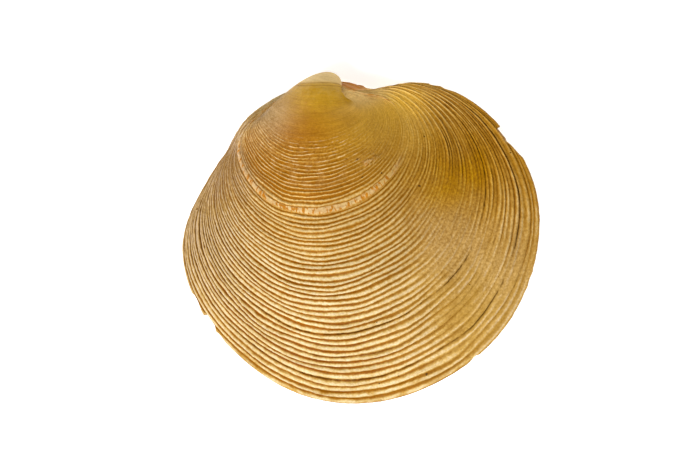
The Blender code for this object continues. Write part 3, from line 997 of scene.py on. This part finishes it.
def outerFinish():
    material, shader = newMaterial("outerShell")
    tree = material.node_tree
    fields = shellFields(tree)
    growth, grain = fields["growth"], fields["grain"]
    colour = ribColours(tree, fields)
    colour = bandColours(tree, fields, colour)
    colour = edgeAndBeakColours(tree, fields, colour)
    colour = surfaceTints(tree, fields, colour)
    spots = bodyNoise(tree, fields["place"], "spot")
    # small pits: a dent in the bump, with painted shade in them
    pits = mathOf(tree, "MULTIPLY", windowOf(tree, spots, 0.775, 0.79),
                  windowOf(tree, fields["number"], 55.0, 45.0))
    colour = mixOf(tree, pits, colour, outerLook["pitShade"])
    tree.links.new(colour, shader.inputs["Base Color"])
    rough = mathOf(tree, "MULTIPLY_ADD", grain, 0.30, outerLook["roughness"] - 0.15)
    tree.links.new(rough, shader.inputs["Roughness"])
    shader.inputs["Specular IOR Level"].default_value = outerLook["shine"]
    height = mathOf(tree, "MULTIPLY_ADD", growthNoise(tree, growth, "fine"), 0.9,
                    mathOf(tree, "MULTIPLY", grain, 0.45))
    height = mathOf(tree, "MULTIPLY_ADD", growthNoise(tree, growth, "flake"), 0.3, height)
    height = mathOf(tree, "MULTIPLY_ADD", pits, -0.8, height)
    addBump(tree, shader, height, outerLook["bump"])
    return material


def addBump(tree, shader, height, bump):
    strength, distance = bump
    node = addNode(tree, "ShaderNodeBump", {"Height": height, "Strength": strength, "Distance": distance})
    tree.links.new(node.outputs["Normal"], shader.inputs["Normal"])


def innerFinish():
    material, shader = newMaterial("innerShell")
    tree = material.node_tree
    place = addNode(tree, "ShaderNodeTexCoord").outputs["Object"]
    mark = attributeOf(tree, "mark", "Fac")
    fine = bodyNoise(tree, place, "innerFine")
    colour = rampOf(tree, bodyNoise(tree, place, "innerCloud"), innerLook["clouds"])
    colour = mixOf(tree, 1.0, colour, rampOf(tree, mark, innerLook["scars"]), "MULTIPLY")
    tree.links.new(colour, shader.inputs["Base Color"])
    rough = mathOf(tree, "MULTIPLY_ADD", mark, 0.12, innerLook["roughness"])
    rough = mathOf(tree, "MULTIPLY_ADD", fine, 0.12, rough)
    tree.links.new(rough, shader.inputs["Roughness"])
    addBump(tree, shader, fine, innerLook["bump"])
    return material


# the floor, the light and the camera

studio = {
    "tilt": 17.209,                   # degrees between the line of sight and straight down
    "tiltTowards": -7.668,            # the side the camera leans to, from the front end
    "roll": 13.854,
    "aim": (-0.00017, -0.00022, 0.0),
    "aside": (-0.001465, 0.000932),   # from the aim to the middle of the view, right and up
    "distance": 0.9,
    "lens": 347.6,
    "sensor": 36.0,
    "keyFrom": (-0.50, -0.48, 0.72),  # right, up, towards the camera
    "keyPower": 4.9,
    "keySize": 0.30,
    "keyDistance": 0.7,
    "sky": 0.55,
    "floorSize": 6.0,
    "floorGap": 0.00005,              # just clear of the margin
    "floorColour": (0.93, 0.93, 0.92),
    "floorGlow": 0.55,                # the floor is a lit table, so it shows next to no shadow
}


def cameraTurn():
    tilt, side, roll = (math.radians(studio[key]) for key in ("tilt", "tiltTowards", "roll"))
    towards = Vector((math.sin(tilt) * math.cos(side), math.sin(tilt) * math.sin(side), math.cos(tilt)))
    up = Vector((math.sin(roll), math.cos(roll), 0.0))
    up = (up - towards * up.dot(towards)).normalized()
    return Matrix((up.cross(towards), up, towards)).transposed()


def setStage():
    deselectAll()
    bpy.ops.mesh.primitive_plane_add(size=studio["floorSize"], location=(0.0, 0.0, -studio["floorGap"]))
    floor = bpy.context.object
    floor.name = "paleFloor"
    material, shader = newMaterial("paleFloor")
    shader.inputs["Base Color"].default_value = (*studio["floorColour"], 1.0)
    shader.inputs["Roughness"].default_value = 0.9
    shader.inputs["Specular IOR Level"].default_value = 0.1
    shader.inputs["Emission Color"].default_value = (1.0, 1.0, 1.0, 1.0)
    shader.inputs["Emission Strength"].default_value = studio["floorGlow"]
    floor.data.materials.append(material)
    world = bpy.data.worlds.new("softSky")
    world.use_nodes = True
    sky = world.node_tree.nodes["Background"]
    sky.inputs["Color"].default_value = (1.0, 1.0, 1.0, 1.0)
    sky.inputs["Strength"].default_value = studio["sky"]
    bpy.context.scene.world = world
    bpy.context.scene.view_settings.view_transform = "Standard"


def setLightAndCamera():
    turn = cameraTurn()
    right, up, towards = turn.transposed()
    aim = Vector(studio["aim"]) + studio["aside"][0] * right + studio["aside"][1] * up
    data = bpy.data.cameras.new("camera")
    data.lens = studio["lens"]
    data.sensor_width = studio["sensor"]
    data.clip_end = 20.0
    camera = bpy.data.objects.new("camera", data)
    camera.matrix_world = Matrix.Translation(aim + towards * studio["distance"]) @ turn.to_4x4()
    bpy.context.collection.objects.link(camera)
    bpy.context.scene.camera = camera
    key = turn @ Vector(studio["keyFrom"]).normalized()
    lamp = bpy.data.lights.new("keyLight", "AREA")
    lamp.energy = studio["keyPower"]
    lamp.size = studio["keySize"]
    light = bpy.data.objects.new("keyLight", lamp)
    light.location = key * studio["keyDistance"]
    light.rotation_euler = key.to_track_quat("Z", "Y").to_euler()
    bpy.context.collection.objects.link(light)


shell = finishValve()
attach(shell, "root")
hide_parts("valve")
setStage()
setLightAndCamera()
print("stage, light and camera set")
